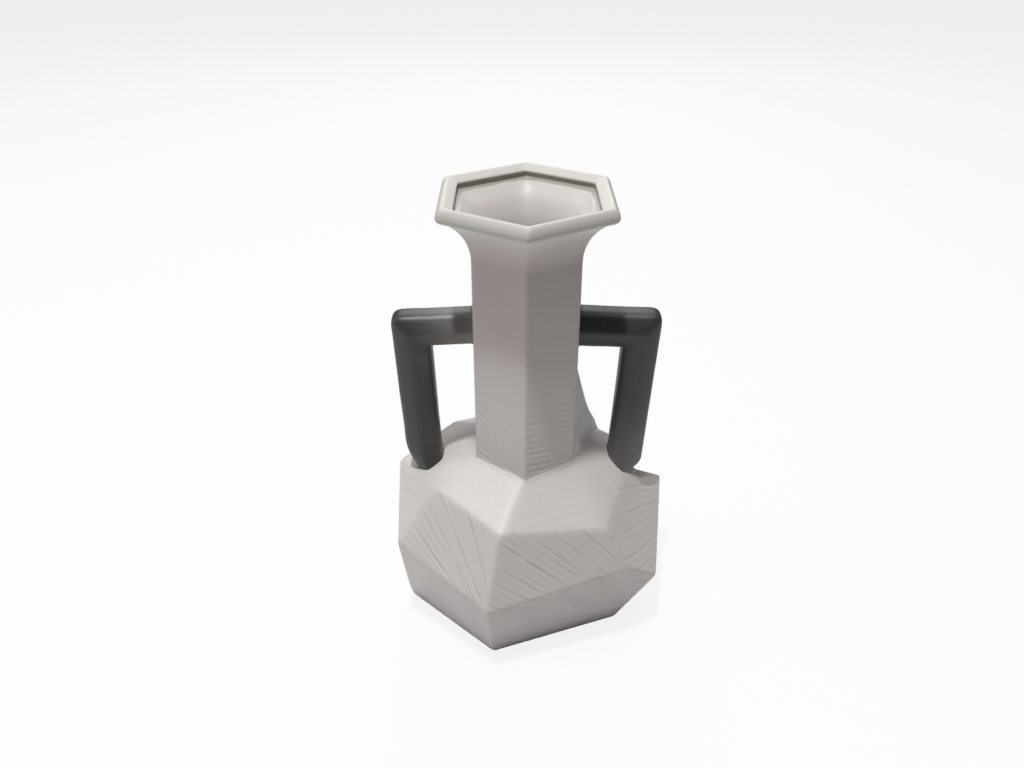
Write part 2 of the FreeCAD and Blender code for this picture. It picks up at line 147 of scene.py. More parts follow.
FEET = [
    (-131.5, -16.0, 54.6, -2.0, 2.3, 400.0, 0.04),
    (-70.0, -17.0, 48.0, -1.5, 2.3, 400.0, 0.04),
    (8.5, -27.0, 48.5, 4.0, 2.3, 400.0, 0.04),
    (60.0, -20.0, 50.0, -3.0, 2.3, 400.0, 0.04),
    (115.0, -18.0, 49.5, 2.0, 2.3, 400.0, 0.04),
    (165.0, -12.0, 61.4, -3.0, 2.3, 400.0, 0.04),
]
print(len(SHOULDERS), "shoulders,", len(FLANKS), "flanks and", len(FEET), "feet")


# %% [markdown]
# From the rows come the planes: a normal that points outwards, and a point on the plane. A
# shoulder's distance is where it meets the axis, a flank's is measured at the waist and a
# foot's at the base. Behind the right handle a chip is missing from the shoulder. It is two
# more planes, each with a turn, a lean and the height where it meets the axis, and what lies
# beyond both of them is gone.

# %% Planes of the facets
WAIST = 50.0
CHIP = [(70.0, 50.5, 104.15), (10.0, 25.0, 216.0)]


def facet_axes(turn, lean):
    """Outward normal of a facet, its level direction and its upward direction along the slope."""
    turn, lean = math.radians(turn), math.radians(lean)
    flat = math.cos(lean)
    normal = np.array([flat * math.cos(turn), flat * math.sin(turn), math.sin(lean)])
    level = np.array([-math.sin(turn), math.cos(turn), 0.0])
    return normal, level, np.cross(normal, level)


def facet_place(turn, distance, kind):
    """A point on the facet: on the axis for a shoulder, at the waist or the base for others."""
    if kind == "shoulder":
        return np.array([0.0, 0.0, distance])
    height = WAIST if kind == "flank" else 0.0
    turn = math.radians(turn)
    return np.array([distance * math.cos(turn), distance * math.sin(turn), height])


facets = []
for kind, rows in (("shoulder", SHOULDERS), ("flank", FLANKS), ("foot", FEET)):
    for turn, lean, distance, heading, pitch, fan, depth in rows:
        normal, level, slope = facet_axes(turn, lean)
        facets.append({"normal": normal, "level": level, "slope": slope,
                       "place": facet_place(turn, distance, kind),
                       "heading": heading, "pitch": pitch, "fan": fan, "depth": depth})
normals = np.array([facet["normal"] for facet in facets] + [(0.0, 0.0, -1.0)])
offsets = np.array([facet["normal"] @ facet["place"] for facet in facets] + [0.0])
chip_normals = np.array([facet_axes(turn, lean)[0] for turn, lean, apex in CHIP])
chip_offsets = chip_normals[:, 2] * [apex for turn, lean, apex in CHIP]
print(len(normals), "planes with the flat foot, and", len(chip_normals), "for the chip")


# %% [markdown]
# Glaze does not follow a sharp edge. Where facets meet, it leaves a soft ridge that is wider
# where the edge is blunt. A bevel would be the same width everywhere. Here the skin is where
# the softened maximum of all the heights above the planes, the logarithm of a sum of
# exponentials, is zero, and that gives the right ridge by itself. Newton's method finds how far
# away the skin is, for every direction at once, starting from the nearest plane.

# %% Softened facets
BELLY_SOFTNESS = 0.5
NEWTON_STEPS = 7
TINY = 1e-6


def softened_maximum(heights, softness):
    """Smooth stand-in for the largest of the heights, and how much each of them counts."""
    peak = heights.max(axis=-1, keepdims=True)
    parts = np.exp((heights - peak) / softness)
    total = parts.sum(axis=-1, keepdims=True)
    return (peak + softness * np.log(total))[..., 0], parts / total


def skin_distance(directions, plane_normals, room, softness):
    """Distance along unit directions at which the softened maximum of n.p - room is zero."""
    gains = directions @ plane_normals.T
    ahead = np.where(gains > TINY, gains, TINY)
    distance = np.min(np.where(gains > TINY, room / ahead, np.inf), axis=-1)
    for _ in range(NEWTON_STEPS):
        value, share = softened_maximum(gains * distance[..., None] - room, softness)
        distance = distance - value / np.sum(share * gains, axis=-1)
    return distance


def belly_height(points):
    """Height of points above the belly's skin, negative inside, and each plane's share."""
    height, share = softened_maximum(points @ normals.T - offsets, BELLY_SOFTNESS)
    in_chip = -softened_maximum(chip_offsets - points @ chip_normals.T, BELLY_SOFTNESS)[0]
    return np.maximum(height, in_chip), share


square_edge = np.array([[1.0, 1.0]]) / math.sqrt(2.0)
soft_edge = skin_distance(square_edge, np.eye(2), np.array([10.0, 10.0]), BELLY_SOFTNESS)[0]
print("glaze takes %.2f mm off a square edge" % (10.0 * math.sqrt(2.0) - soft_edge))


# %% [markdown]
# The strokes are shallow valleys that a narrow gouge left. They could be painted in a bump
# texture, but the deep ones on the flanks break the outline of the ridges, so they are relief.
# Seen from the spot that a facet's strokes point at, each stroke is one step of angle. So the
# angle divided by the step counts the strokes, and its distance from the nearest whole number
# is the place across a stroke. Two slow waves bend the count a little. Each stroke has its own
# depth, and noise lets it bite or skip along its length.

# %% Hatched strokes
STROKE_WIDTH = 0.85
STROKE_BENDS = [(0.12, np.array([0.11, 0.06, 0.09]), 1.0),
                (0.05, np.array([-0.16, 0.33, -0.24]), 2.4)]
STROKE_BEAT = 2.4
OWN_DEPTH, OWN_SWING = 0.72, 0.28
BITE_DEPTH, BITE_SWING, BITE_CELL = 0.72, 0.45, 13.0
LEAST_SHARE = 0.02


def stroke_axes(facet):
    """Unit vectors on the facet along its strokes and across them."""
    heading = math.radians(facet["heading"])
    along = facet["level"] * math.cos(heading) + facet["slope"] * math.sin(heading)
    across = facet["level"] * math.sin(heading) - facet["slope"] * math.cos(heading)
    return along, across


def stroke_depth(points, facet, seed):
    """Depth of the strokes at points on or near one facet, in millimetres.

    It is a bell, exp(-(across / width)^2), times the depths of the facet, the stroke and the
    bite."""
    local = points - facet["place"]
    along, across = stroke_axes(facet)
    ahead, sideways = facet["fan"] - local @ along, local @ across
    step = facet["pitch"] / facet["fan"]
    count = np.arctan2(sideways, ahead) / step
    for amount, wave, start in STROKE_BENDS:
        count = count + amount * np.sin(points @ wave + start)
    stroke = np.round(count)
    across = (count - stroke) * np.maximum(step * ahead, 1.0)
    own = OWN_DEPTH + OWN_SWING * np.sin(STROKE_BEAT * stroke)
    noise = smooth_noise(points + stroke[..., None] * 31.0, BITE_CELL, seed + 3)
    bite = np.clip(BITE_DEPTH + BITE_SWING * noise, 0.1, 1.2)
    return facet["depth"] * own * bite * np.exp(-(across / STROKE_WIDTH) ** 2)


def carve(points, share, some_facets, seed):
    """Moves points in along each facet's normal by its strokes, by how much the facet counts."""
    moved = points.copy()
    for number, facet in enumerate(some_facets):
        weight = share[..., number]
        near = weight > LEAST_SHARE
        depth = stroke_depth(points[near], facet, seed + 10 * number) * weight[near] ** 2
        moved[near] -= depth[:, None] * facet["normal"]
    return moved


print("strokes on the flanks, mm apart:", [pitch for _, _, _, _, pitch, _, _ in FLANKS])


# %% [markdown]
# Every form of the vase closes on itself, so every surface here is a grid: one row for each
# step along a profile, one column for each step around. Spin or Skin could turn a profile, but
# not one whose width differs in every direction. A grid that closes both ways, or ends in a
# single point, has no hole, so it is a sound solid.

# %% Grid to mesh
PIECE_LIMIT = 200000


def grid_object(name, rows, first_point=None, last_point=None, wraps=False):
    """Mesh from rows of points that each close into a ring.

    With wraps the last row joins the first. Otherwise each end closes on its own point."""
    count, columns = rows.shape[:2]
    points = rows.reshape(-1, 3)
    here = np.arange(columns)
    after = (here + 1) % columns
    lower = np.arange(count if wraps else count - 1)
    upper = (lower + 1) % count
    quads = np.stack([
        lower[:, None] * columns + here, lower[:, None] * columns + after,
        upper[:, None] * columns + after, upper[:, None] * columns + here], axis=-1)
    faces = quads.reshape(-1, 4).tolist()
    if not wraps:
        first, last = len(points), len(points) + 1
        points = np.concatenate([points, [first_point, last_point]])
        faces += np.stack([np.full(columns, first), after, here], axis=-1).tolist()
        base = (count - 1) * columns
        faces += np.stack([np.full(columns, last), base + here, base + after], axis=-1).tolist()
    mesh = bpy.data.meshes.new(name)
    mesh.from_pydata((points * MM).tolist(), [], faces)
    mesh.validate()
    mesh.polygons.foreach_set("use_smooth", np.ones(len(mesh.polygons), bool))
    mesh.update()
    piece = bpy.data.objects.new(name, mesh)
    scene.collection.objects.link(piece)
    triangles = sum(len(face) - 2 for face in faces)
    print("%s: %d triangles of %d allowed" % (name, triangles, PIECE_LIMIT))
    return piece


print("limit for each piece:", PIECE_LIMIT, "triangles")


# %% [markdown]
# The neck is a hexagon at every height, and its profile gives the distance from the axis to the
# middle of a flat. It runs straight up, out through a hollow curve, up round the lip's outer
# face, over the crest, down to the inner edge, back into a groove, over a ledge and down inside.
# A Bezier curve could be drawn by hand, but straight lines and arcs say the sizes outright.
# They are taken at even steps and then smoothed a little, as glaze does.

# %% Sizes of the neck and lip
WALL = 5.0
NECK = 26.4
NECK_START = 94.0
COVE_RADIUS = 26.0
COVE_END = (36.4, 241.0)
NOSE = (38.4, 242.3)
CHEEK = (41.75, 245.2)
CHEEK_RADIUS = 3.1
CREST_OUTER = (39.3, 249.9)
CHEEK_BULGE = 6.5
CREST_INNER = (38.3, 250.0)
LIP_INNER = (33.4, 247.4)
GROOVE = (34.6, 244.4)
LEDGE_HEIGHT = 243.2
OUTER_STEP, COVE_STEP, LIP_STEP, INNER_COVE_STEP, INNER_STEP = 0.75, 0.72, 0.45, 0.99, 2.5
PROFILE_PASSES = 4

cove_run = COVE_END[0] - NECK
cove_height = COVE_END[1] - math.sqrt(2.0 * COVE_RADIUS * cove_run - cove_run ** 2)
cove_centre = (NECK + COVE_RADIUS, cove_height)
ledge_drop = math.sqrt((COVE_RADIUS + WALL) ** 2 - (LEDGE_HEIGHT - cove_height) ** 2)
ledge = (cove_centre[0] - ledge_drop, LEDGE_HEIGHT)
print("the neck starts to flare at %.1f mm, ledge at %.1f mm" % (cove_height, ledge[0]))


# %% [markdown]
# Lines and arcs follow each other. Each leaves out its last point, where the next one starts.

# %% Profile of the neck and lip
def straight(start, end, step):
    """Points from start up to, but without, end."""
    count = max(1, round(math.hypot(end[0] - start[0], end[1] - start[1]) / step))
    part = np.arange(count) / count
    return np.array(start) + part[:, None] * (np.array(end) - np.array(start))


def arc(centre, start, end, step, clockwise=False):
    """Points on the circle about centre from start up to, but without, end."""
    radius = math.hypot(start[0] - centre[0], start[1] - centre[1])
    first = math.atan2(start[1] - centre[1], start[0] - centre[0])
    last = math.atan2(end[1] - centre[1], end[0] - centre[0])
    turn = (last - first) % (2.0 * math.pi)
    if clockwise:
        turn -= 2.0 * math.pi
    count = max(2, round(abs(turn) * radius / step))
    swept = first + turn * np.arange(count) / count
    return np.array(centre) + radius * np.stack([np.cos(swept), np.sin(swept)], axis=-1)


def bulge(start, end, radius, step):
    """Arc of that radius from start to end that bulges to the right of the way.

    Its centre lies sqrt(radius^2 - half^2) to the left of the middle of the chord."""
    chord = np.array(end) - np.array(start)
    half = np.hypot(*chord) / 2.0
    left = np.array([-chord[1], chord[0]]) / (2.0 * half)
    middle = (np.array(start) + np.array(end)) / 2.0
    return arc(middle + left * math.sqrt(radius ** 2 - half ** 2), start, end, step)


def smoothed_ring(profile, passes):
    """Each point of a closed profile moves towards its neighbours, once for each pass."""
    for _ in range(passes):
        beside = np.roll(profile, 1, axis=0) + np.roll(profile, -1, axis=0)
        profile = 0.5 * profile + 0.25 * beside
    return profile


neck_profile = smoothed_ring(np.concatenate([
    straight((NECK, NECK_START), (NECK, cove_height), OUTER_STEP),
    arc(cove_centre, (NECK, cove_height), COVE_END, COVE_STEP, clockwise=True),
    straight(COVE_END, NOSE, LIP_STEP),
    bulge(NOSE, CHEEK, CHEEK_RADIUS, LIP_STEP),
    bulge(CHEEK, CREST_OUTER, CHEEK_BULGE, LIP_STEP),
    straight(CREST_OUTER, CREST_INNER, LIP_STEP),
    straight(CREST_INNER, LIP_INNER, LIP_STEP),
    straight(LIP_INNER, GROOVE, LIP_STEP),
    straight(GROOVE, ledge, LIP_STEP),
    arc(cove_centre, ledge, (NECK - WALL, cove_height), INNER_COVE_STEP),
    straight((NECK - WALL, cove_height), (NECK - WALL, NECK_START), INNER_STEP),
    straight((NECK - WALL, NECK_START), (NECK, NECK_START), INNER_STEP),
]), PROFILE_PASSES)
print("neck profile:", len(neck_profile), "steps, rim at", neck_profile[:, 1].max())


# %% [markdown]
# Where the neck grows out of the shoulders, and the handles out of both, glaze fills the corner.
# A boolean union and a bevel could make that corner, but unions of fine carved meshes are slow
# and fragile. So the forms only pass into each other, and points of one that come close to
# another move outwards, more the closer they are, which leaves a small hollow fillet.

# %% Fillets where forms meet
NECK_FILLET, HANDLE_FILLET = 2.4, 2.5
NEAR_NECK_SOFTNESS = 0.45
NECK_TURNS = np.arange(6) * 60.0
neck_normals = np.stack([np.cos(np.radians(NECK_TURNS)), np.sin(np.radians(NECK_TURNS))], axis=-1)


def fillet_push(gap, size):
    """How far a point moves out when another form is gap away: (size - gap)^2 / (4 size)."""
    return np.clip(size - gap, 0.0, size) ** 2 / (4.0 * size)


def neck_height(points):
    """Height of points above the straight part of the neck."""
    return softened_maximum(points[..., :2] @ neck_normals.T - NECK, NEAR_NECK_SOFTNESS)[0]


print("on the joint the skin moves out by %.2f mm" % fillet_push(0.0, NECK_FILLET))


# %% [markdown]
# At the back on the right the neck spreads onto the shoulder in two steep faces, like the root
# of a tree. It could be a piece of its own, but then its seam would cross the neck. At each
# height its faces and its sides are straight lines, so the root has a reach in every direction
# just as the neck has, and the further of the two counts, softly.
#
# Columns: turn, lean, and the distance from the axis at the root's own height.

# %% Root of the neck
ROOT_HEIGHT = 120.0
ROOT_TOP = 160.0
ROOT_FACES = [(20.0, 17.0, 37.6), (20.0, 31.3, 37.6)]
ROOT_SIDES = [(-60.0, 0.0, 24.4), (-20.0, 8.0, 29.9), (75.0, 10.0, 29.9), (120.0, 0.0, 24.4)]
ROOT_EDGE_SOFTNESS, ROOT_FACE_SOFTNESS, ROOT_NECK_SOFTNESS = 0.8, 1.0, 0.35
SIDEWAYS_GAIN, FACING_GAIN = 0.02, 0.1


def root_reach(around, heights):
    """Distance from the axis to the root's skin, for each height and each direction around.

    A line at distance room is reached after room / (direction . line), and the nearest line
    counts. Directions that face away from the root get none."""
    reaches = []
    for face in ROOT_FACES:
        turns, leans, distances = np.array([face] + ROOT_SIDES).T
        lines = np.stack([np.cos(np.radians(turns)), np.sin(np.radians(turns))], axis=-1)
        room = distances - np.tan(np.radians(leans)) * (heights[:, None] - ROOT_HEIGHT)
        gains = np.maximum(around @ lines.T, SIDEWAYS_GAIN)
        reach = -softened_maximum(-room[:, None, :] / gains, ROOT_EDGE_SOFTNESS)[0]
        reaches.append(np.where(around @ lines[0] > FACING_GAIN, reach, 0.0))
    return softened_maximum(np.stack(reaches, axis=-1), ROOT_FACE_SOFTNESS)[0]


root_line = facet_axes(ROOT_FACES[0][0], 0.0)[0][None, :2]
print("the root reaches out %.1f mm" % root_reach(root_line, np.array([ROOT_HEIGHT]))[0, 0])


# %% [markdown]
# Neck and lip are one thin wall with an outside and an inside, so one closed profile carries
# both. At each of its points the six flats give a reach for every direction around, with
# corners that are crisp outside and rounder inside, where glaze collects. Low down the root
# takes over where it reaches further.

# %% Skin of the neck and lip
NECK_COLUMNS = 294
NECK_SOFTNESS = 0.42
INSIDE_SOFTNESS = 2.2
ROUNDER_FROM, ROUNDEST_AT = -3.5, 5.0
NECK_JOINT_TOP = 130.0

neck_angles = 2.0 * np.pi * (np.arange(NECK_COLUMNS) + 0.5) / NECK_COLUMNS
around = np.stack([np.cos(neck_angles), np.sin(neck_angles)], axis=-1)
profile_reach, profile_height = neck_profile.T
outer = np.arange(len(neck_profile)) < np.argmax(profile_height)
rounder = np.where(outer, 0.0, fade(LEDGE_HEIGHT - profile_height, ROUNDER_FROM, ROUNDEST_AT))
softness = NECK_SOFTNESS + (INSIDE_SOFTNESS - NECK_SOFTNESS) * rounder
neck_lines = np.broadcast_to(around, (len(neck_profile), NECK_COLUMNS, 2))
room, softness = profile_reach[:, None, None], softness[:, None, None]
reach = skin_distance(neck_lines, neck_normals, room, softness)
low = outer & (profile_height < ROOT_TOP)
both = np.stack([reach[low], root_reach(around, profile_height[low])], axis=-1)
reach[low] = softened_maximum(both, ROOT_NECK_SOFTNESS)[0]
neck_heights = np.broadcast_to(profile_height[:, None, None], reach.shape + (1,))
neck_points = np.concatenate([reach[..., None] * around, neck_heights], axis=-1)
on_joint = outer[:, None] & (neck_points[..., 2] < NECK_JOINT_TOP)
push = fillet_push(np.abs(belly_height(neck_points)[0]), NECK_FILLET) * on_joint
neck_points[..., :2] += push[..., None] * around
print("neck: %.1f mm across at its widest" % (2.0 * reach.max()))


# %% [markdown]
# The lower half of the neck is hatched too, with closer strokes that fade out upwards. The six
# flats are facets like those of the belly, so the same function carves them.
#
# For each flat's turn: heading and pitch of its strokes.

# %% Neck and lip
NECK_STROKES = {240: (-28.5, 3.7), 300: (-9.0, 3.6), 0: (14.0, 3.8), 60: (-22.0, 3.8),
                120: (20.0, 3.7), 180: (-16.0, 3.8)}
NECK_STROKE_HEIGHT, NECK_STROKE_FAN, NECK_STROKE_DEPTH = 120.0, 320.0, 0.34
NECK_STROKES_FADE = (132.0, 168.0)

neck_facets = []
for turn in NECK_TURNS:
    normal, level, slope = facet_axes(turn, 0.0)
    heading, pitch = NECK_STROKES[int(turn)]
    neck_facets.append({"normal": normal, "level": level, "slope": slope,
                        "place": normal * NECK + np.array([0.0, 0.0, NECK_STROKE_HEIGHT]),
                        "heading": heading, "pitch": pitch,
                        "fan": NECK_STROKE_FAN, "depth": NECK_STROKE_DEPTH})
share = softened_maximum(neck_points[..., :2] @ neck_normals.T, NECK_SOFTNESS)[1]
strength = (1.0 - fade(neck_points[..., 2], *NECK_STROKES_FADE)) * outer[:, None]
neck_points = carve(neck_points, share * strength[..., None], neck_facets, 500)
neck = grid_object("vase_neck", neck_points, wraps=True)


# %% [markdown]
# The belly is hollow, with a wall as thick as the neck's. Solidify could give the wall, but it
# folds over at sharp ridges. Here the inner skin is the same planes moved in by the wall. The
# belly is seen from a point inside it: one row for each step of the angle up from straight
# down, one column for each step around, and the rows are closest together on the flanks, where
# the strokes are.

# %% Skin of the belly
CENTRE = np.array([0.0, 0.0, 50.0])
BELLY_COLUMNS = 496
INSIDE_BELLY_SOFTNESS = 1.5
FOOT_THICKNESS = 6.0
CHIP_GAIN = 0.05
OUTSIDE_ROWS = np.concatenate([np.linspace(-88.0, -52.0, 9), np.arange(-50.0, -20.0, 0.9),
                               np.arange(-20.0, 34.0, 0.6), np.arange(34.0, 70.0, 0.85)])
INSIDE_ROWS = np.arange(66.0, -88.0, -7.0)
belly_angles = 2.0 * np.pi * (np.arange(BELLY_COLUMNS) + 0.5) / BELLY_COLUMNS


def sight_lines(elevations):
    """Unit directions from the centre, one row for each elevation in degrees."""
    climb = np.radians(elevations)[:, None]
    rise = np.broadcast_to(np.sin(climb), (len(elevations), BELLY_COLUMNS))
    return np.stack([np.cos(climb) * np.cos(belly_angles), np.cos(climb) * np.sin(belly_angles),
                     rise], axis=-1)


def belly_skin(elevations, inset, softness):
    """Points of the softened skin, moved in by inset, seen from the centre.

    The outer skin is also cut by the chip: the nearer of skin and chip counts, softly."""
    lines = sight_lines(elevations)
    room = offsets - inset
    room[-1] = offsets[-1] - (FOOT_THICKNESS if inset else 0.0)
    distance = skin_distance(lines, normals, room - normals @ CENTRE, softness)
    if not inset:
        gains = np.maximum(lines @ chip_normals.T, CHIP_GAIN)
        to_chip = softened_maximum((chip_offsets - chip_normals @ CENTRE) / gains, softness)[0]
        distance = -softened_maximum(np.stack([-distance, -to_chip], axis=-1), softness)[0]
    return CENTRE + distance[..., None] * lines


outside = belly_skin(OUTSIDE_ROWS, 0.0, BELLY_SOFTNESS)
inside = belly_skin(INSIDE_ROWS, WALL, INSIDE_BELLY_SOFTNESS)
print("belly:", len(OUTSIDE_ROWS), "rows outside and", len(INSIDE_ROWS), "inside")


# %% [markdown]
# The rows climb the outside from the middle of the foot to the neck's wall, and go down the
# inside to the middle of the floor. Carving comes before the fillet, so that the glaze in the
# corner lies over the strokes. Under the neck the rows are drawn out to a circle inside its
# wall, so nothing hangs into the opening.

# %% Belly
JOINT_RADIUS = 25.4
JOINT_LOW = 80.0


def cut_at_joint(points):
    """Draws the rows that pass in under the neck out to the joint inside the neck's wall."""
    radius = np.hypot(points[..., 0], points[..., 1])
    under = (radius < JOINT_RADIUS) & (points[..., 2] > JOINT_LOW)
    scale = np.where(under, JOINT_RADIUS / np.maximum(radius, TINY), 1.0)
    drawn = points.copy()
    drawn[..., :2] *= scale[..., None]
    return drawn


share = belly_height(outside)[1]
outside = carve(outside, share, facets, 100)
push = fillet_push(np.abs(neck_height(outside)), NECK_FILLET) * (outside[..., 2] > JOINT_LOW)
outside += push[..., None] * (share @ normals)
belly_rows = cut_at_joint(np.concatenate([outside, inside]))
belly = grid_object("vase_belly", belly_rows, (0.0, 0.0, 0.0), (0.0, 0.0, FOOT_THICKNESS))


# %% [markdown]
# A handle is a six-sided bar: a flat outside, a flat inside, and a ridge along the front and
# the back. It runs out from the neck, turns down and stands on the shoulder. A bevelled
# curve could carry one section along that path, but it pinches at a tight corner. So the rings
# are placed one by one: square to the bar on the straight parts, and fanned about the inner
# corner at the turn. The outer corner is where two straight sides meet, rounded by taking a high
# power of both.

# %% Sizes of the handles
HANDLE_SOFTNESS = 1.3
HANDLE_COLUMNS = 96
HANDLE_DEPTH = 22.4
HANDLE_FLAT = 11.2
ARM_HEIGHT = 178.0
ARM_START = 21.5
UPRIGHT_END = 80.0
RING_STEP = 0.75
TURN_RINGS = 46
# For each side: reach of the upright at the corner and at the shoulder, fall of the arm,
# thickness of arm and upright, and the power that rounds the corner.
HANDLE_SIZES = {-1: (58.6, 55.3, 2.0, 18.9, 20.4, 8.5), 1: (59.6, 55.5, 1.6, 20.8, 19.8, 9.0)}
# Height at which each foot starts to taper, and how much thinner it is at its lowest.
FOOT_TAPERS = {-1: (112.0, 0.30), 1: (99.0, 0.20)}
FOOT_LOW = 92.0
DEPTH_TAPER = 0.2
# Amount and cell of the noise that keeps a bar from looking ruled.
HANDLE_WAVES = [(0.22, 24.0), (0.05, 7.0)]
print("handles reach", HANDLE_SIZES[-1][0], "and", HANDLE_SIZES[1][0], "mm from the axis")


# %% [markdown]
# The section is a hexagon found in the same way as the neck's. Each ring is a base point on the
# bar's inner side, a direction across the bar and the bar's extent that way.

# %% Handle sections
def bar_section(thickness):
    """Ring of points across and through the bar: a hexagon with softened ridges."""
    half_depth, half_flat, half = HANDLE_DEPTH / 2.0, HANDLE_FLAT / 2.0, thickness / 2.0
    side = np.array([half, half_depth - half_flat]) / math.hypot(half, half_depth - half_flat)
    plane_normals = np.array([(0.0, 1.0), (0.0, -1.0), side, (-side[0], side[1]),
                              (side[0], -side[1]), (-side[0], -side[1])])
    room = np.array([half, half] + [half_depth * side[0]] * 4)
    turn = 2.0 * np.pi * np.arange(HANDLE_COLUMNS) / HANDLE_COLUMNS
    lines = np.stack([np.cos(turn), np.sin(turn)], axis=-1)
    return skin_distance(lines, plane_normals, room, HANDLE_SOFTNESS)[:, None] * lines


def handle_rings(sizes):
    """Base point, outward direction and reach of each ring, in the plane of the handle."""
    reach, foot_reach, fall, arm_thickness, upright_thickness, power = sizes
    start, corner = np.array([ARM_START, ARM_HEIGHT + fall]), np.array([reach, ARM_HEIGHT])
    end = np.array([foot_reach, UPRIGHT_END])
    arm = (corner - start) / np.hypot(*(corner - start))
    drop = (end - corner) / np.hypot(*(end - corner))
    up, out = np.array([-arm[1], arm[0]]), np.array([-drop[1], drop[0]])
    inner = np.linalg.solve(np.array([up, out]), np.array([
        up @ corner - arm_thickness / 2.0, out @ corner - upright_thickness / 2.0]))
    arm_length, drop_length = (inner - start) @ arm, (end - inner) @ drop
    rings = []
    for distance in np.arange(-arm_length, 0.0, RING_STEP):
        rings.append((inner + arm * distance, up, arm_thickness))
    for part in np.linspace(0.0, 1.0, TURN_RINGS):
        turn = part * math.pi / 2.0
        way = up * math.cos(turn) + out * math.sin(turn)
        way = way / np.hypot(*way)
        sides = np.clip([way @ up / arm_thickness, way @ out / upright_thickness], 0.0, None)
        rings.append((inner, way, np.sum(sides ** power) ** (-1.0 / power)))
    for distance in np.arange(RING_STEP, drop_length, RING_STEP):
        rings.append((inner + drop * distance, out, upright_thickness))
    return rings


print("rings in each handle:", [len(handle_rings(sizes)) for sizes in HANDLE_SIZES.values()])


# %% [markdown]
# The two handles were pulled from the same mould but are not quite alike: they differ in reach,
# thickness and taper. A mirror would lose that, so one function builds either from its own
# sizes. Noise takes a little off the bar everywhere, and near the neck and the shoulder the
# fillet puts some back.

# %% Handles
def handle_object(name, side, seed):
    """Handle on one side: side is 1 for +X and -1 for -X."""
    rows = []
    high, loss = FOOT_TAPERS[side]
    for base, way, extent in handle_rings(HANDLE_SIZES[side]):
        section = bar_section(extent)
        taper = np.clip((high - base[1]) / (high - FOOT_LOW), 0.0, 1.0) ** 2 * loss
        through = (section[:, 1] + extent / 2.0) * (1.0 - taper)
        flat = base + through[:, None] * way
        depth = section[:, 0] * (1.0 - DEPTH_TAPER * taper)
        rows.append(np.stack([side * flat[:, 0], depth, flat[:, 1]], axis=-1))
    points = np.array(rows)
    outward = points - points.mean(axis=1, keepdims=True)
    outward /= np.linalg.norm(outward, axis=-1, keepdims=True)
    uneven = 0.0
    for number, (amount, cell) in enumerate(HANDLE_WAVES):
        uneven = uneven + amount * (1.0 + smooth_noise(points, cell, seed + number))
    points -= uneven[..., None] * outward
    nearest = np.minimum(np.abs(neck_height(points)), np.abs(belly_height(points)[0]))
    points += fillet_push(nearest, HANDLE_FILLET)[..., None] * outward
    if side > 0:
        points = points[:, ::-1]
    return grid_object(name, points, points[0].mean(axis=0), points[-1].mean(axis=0))


handles = [handle_object("handle_left", -1, 900), handle_object("handle_right", 1, 950)]


# %% [markdown]
# Shader maths reads best as plain expressions. Nodes could be placed one by one, but a formula
# of ten nodes would fill a page. This small class wraps a socket, so that adding or multiplying
# two of them makes the Math node that does it.

# %% Values in a node tree
def feed(tree, slot, value):
    """Links a value or a socket into a slot, or fills the slot with a number or a colour."""
    if isinstance(value, Value):
        value = value.socket
    if isinstance(value, bpy.types.NodeSocket):
        tree.links.new(value, slot)
    else:
        slot.default_value = value


class Value:
    """A number in a node tree."""

    def __init__(self, tree, socket):
        self.tree = tree
        self.socket = socket

    def math(self, operation, *inputs):
        """Math node in this value's tree, fed with numbers and values."""
        node = self.tree.nodes.new("ShaderNodeMath")
        node.operation = operation
        for slot, value in zip(node.inputs, inputs):
            feed(self.tree, slot, value)
        return Value(self.tree, node.outputs[0])

    def then(self, operation, *others):
        """Math node whose first input is this value."""
        return self.math(operation, self, *others)

    def __add__(self, other):
        return self.then("ADD", other)

    __radd__ = __add__

    def __mul__(self, other):
        return self.then("MULTIPLY", other)

    __rmul__ = __mul__

    def __sub__(self, other):
        return self.then("SUBTRACT", other)

    def __rsub__(self, other):
        return self.math("SUBTRACT", other, self)


print("Value adds Math nodes for + - and *")


# %% [markdown]
# Any other node comes from one method that takes the node's type, its settings and what goes
# into its sockets. A finish is a material with that method and with a few measures of its own:
# noise, how far along a direction a point lies, and a smooth step. All of them read Object
# coordinates, so the pattern stays with the vase and not with the camera.

# %% Finishes
WHITE = (1.0, 1.0, 1.0, 1.0)


class NodeTree:
    """A node tree that is built up node by node."""

    def __init__(self, tree):
        self.tree = tree

    def node(self, kind, settings, inputs):
        """A node with its settings made first, and then its sockets filled or linked."""
        node = self.tree.nodes.new(kind)
        for setting, value in settings.items():
            setattr(node, setting, value)
        for name, value in inputs.items():
            feed(self.tree, node.inputs[name], value)
        return node


